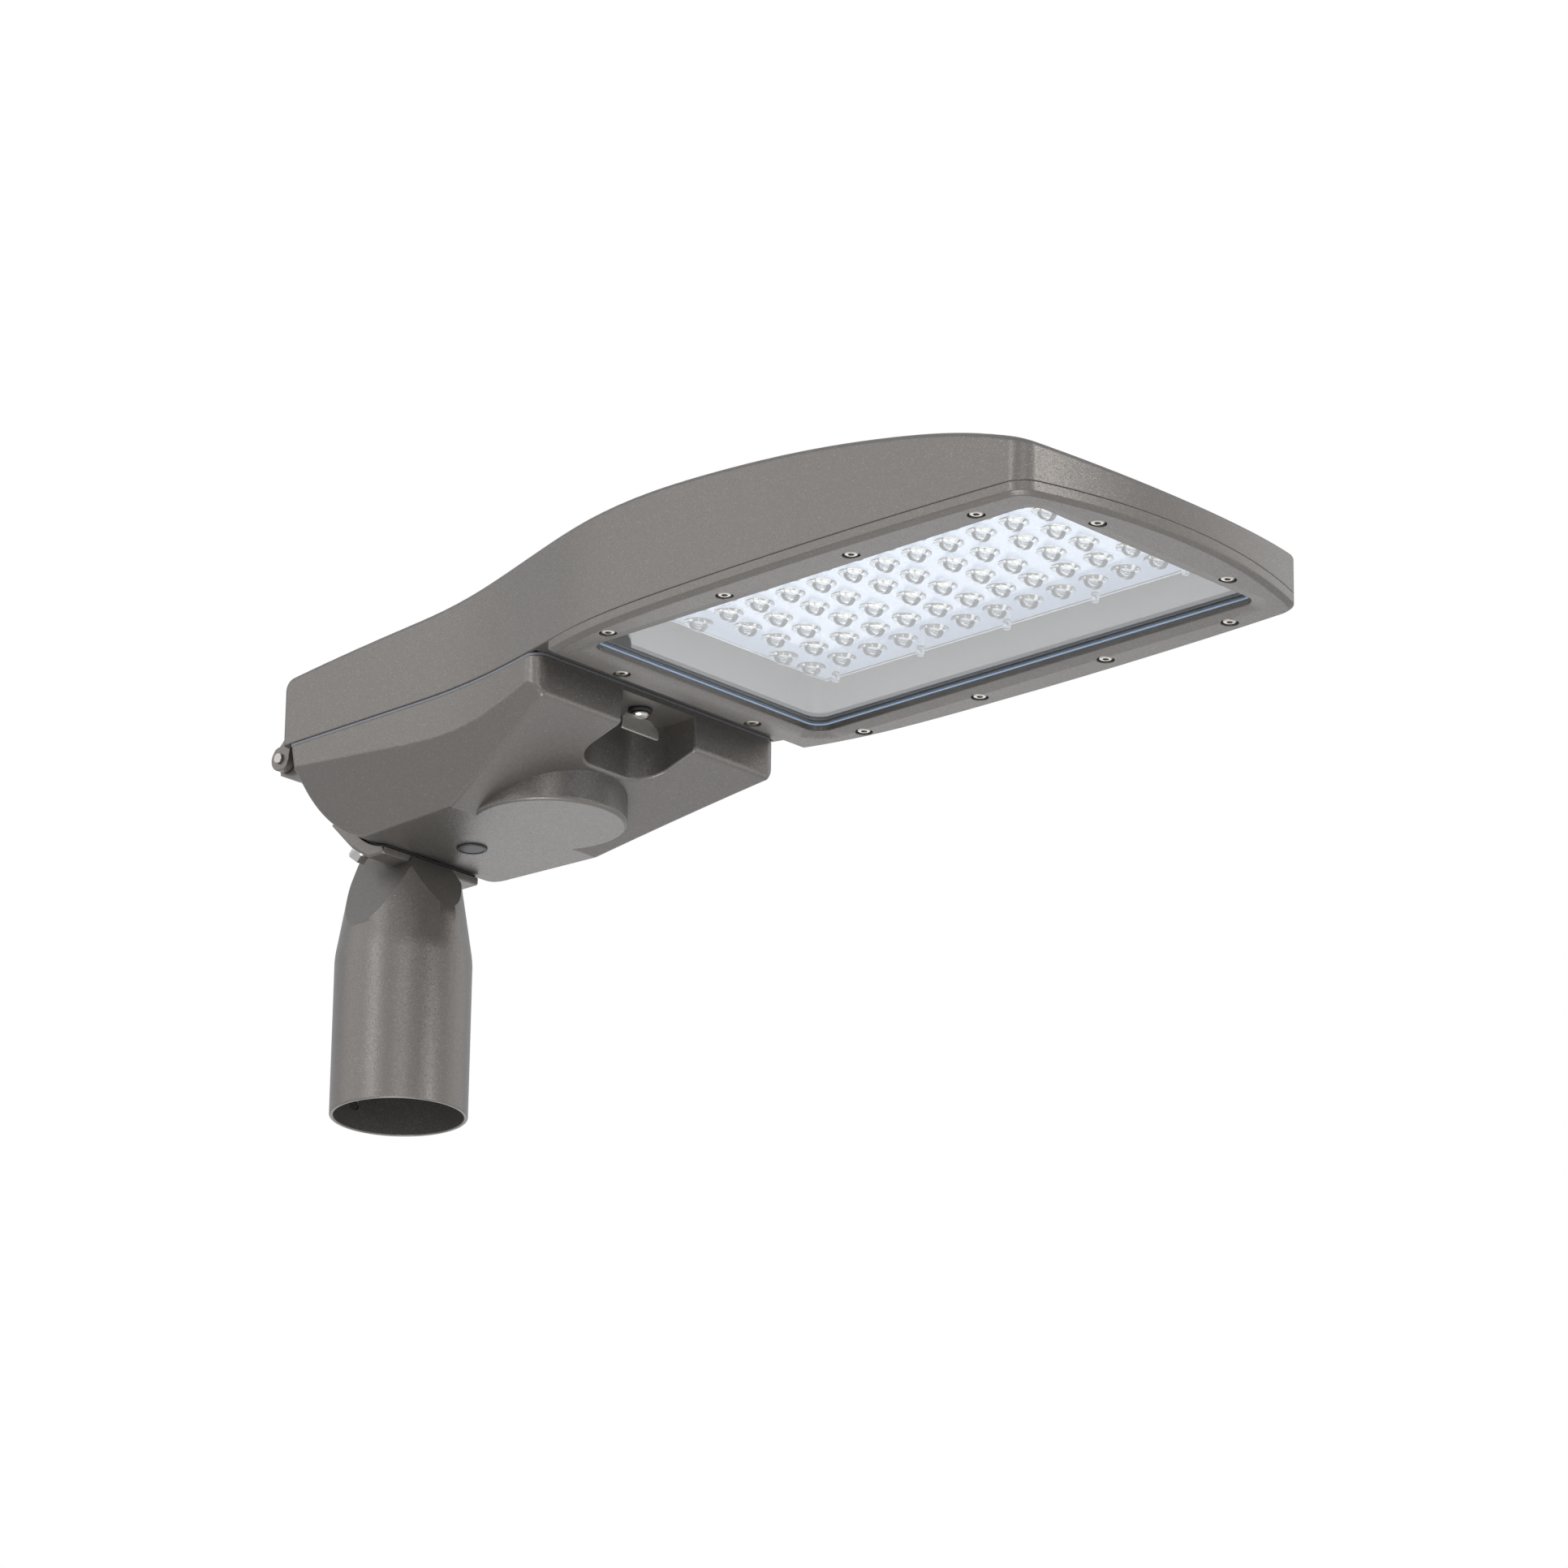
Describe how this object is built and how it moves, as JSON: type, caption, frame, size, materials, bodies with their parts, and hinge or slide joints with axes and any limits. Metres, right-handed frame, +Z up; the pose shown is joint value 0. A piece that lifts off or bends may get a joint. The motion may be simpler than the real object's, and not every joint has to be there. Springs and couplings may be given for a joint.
{
  "type": "led street light",
  "caption": "Flat grey street light: a long canopy with a glazed LED lamp head, a faceted gear housing under its neck, and a wedge-necked socket for a pole top.",
  "frame": {"origin": "centre of the pole socket's mouth", "axes": "+Z up along the socket, +X to the lamp's nose, Y across; the lamp is symmetric about the XZ plane"},
  "size_m": [0.6608, 0.2488, 0.283],
  "materials": {
    "cast_coat": "warm mid-grey metallic powder coat on die-cast aluminium",
    "black_rubber": "matt",
    "grey_silicone": "matt silicone",
    "zinc_steel": "zinc plated",
    "stainless": "bright",
    "wing_steel": "satin",
    "black_nylon": "matt",
    "grey_window": "gloss",
    "driver_case": "satin",
    "terminal_nylon": "matt",
    "brass": "bright",
    "clear_glass": "polished flat tempered",
    "tray_white": "light-grey coat",
    "board_white": "white solder mask",
    "led_phosphor": "gloss",
    "clear_pmma": "clear, polished"
  },
  "bodies": {
    "spigot": {"spigot": "cast_coat", "cradle_pad": "black_rubber", "clamp_plate": "zinc_steel", "tilt_bolts": "stainless", "tilt_washers": "stainless", "cable_gland": "black_nylon", "grub_screws": "stainless"},
    "housing": {"gear_housing": "cast_coat", "housing_gasket": "grey_silicone", "hinge_pins": "stainless", "sensor_bezel": "black_nylon", "sensor_window": "grey_window", "latch_seal": "black_rubber", "gear_tray": "zinc_steel", "tray_screws": "stainless", "driver": "driver_case", "driver_screws": "stainless", "surge_protector": "black_nylon", "terminal_block": "terminal_nylon", "cable_clamp": "black_nylon", "earth_screw": "brass"},
    "canopy": {"canopy": "cast_coat", "glass_frame": "cast_coat", "frame_screws": "stainless", "glass": "clear_glass", "glass_gasket": "black_rubber", "reflector_tray": "tray_white", "thermal_pad": "grey_silicone", "led_board": "board_white", "led_chips": "led_phosphor", "lens_plate": "clear_pmma", "lens_pegs": "clear_pmma", "wire_grommet": "black_rubber"},
    "latch": {"latch_pin": "stainless", "latch_wing": "wing_steel", "latch_cam": "stainless"}
  },
  "joints": [
    {"name": "tilt", "type": "hinge", "parent": "spigot", "child": "housing", "pos_m": [0.028, 0, 0.1985], "axis": [0, 1, 0], "range_deg": [-15, 15]},
    {"name": "canopy_hinge", "type": "hinge", "parent": "housing", "child": "canopy", "pos_m": [-0.03, 0, 0.2125], "axis": [0, -1, 0], "range_deg": [0, 80]},
    {"name": "latch_turn", "type": "hinge", "parent": "housing", "child": "latch", "pos_m": [0.194, 0, 0.21], "axis": [0, 0, 1], "range_deg": [0, 90]}
  ]
}
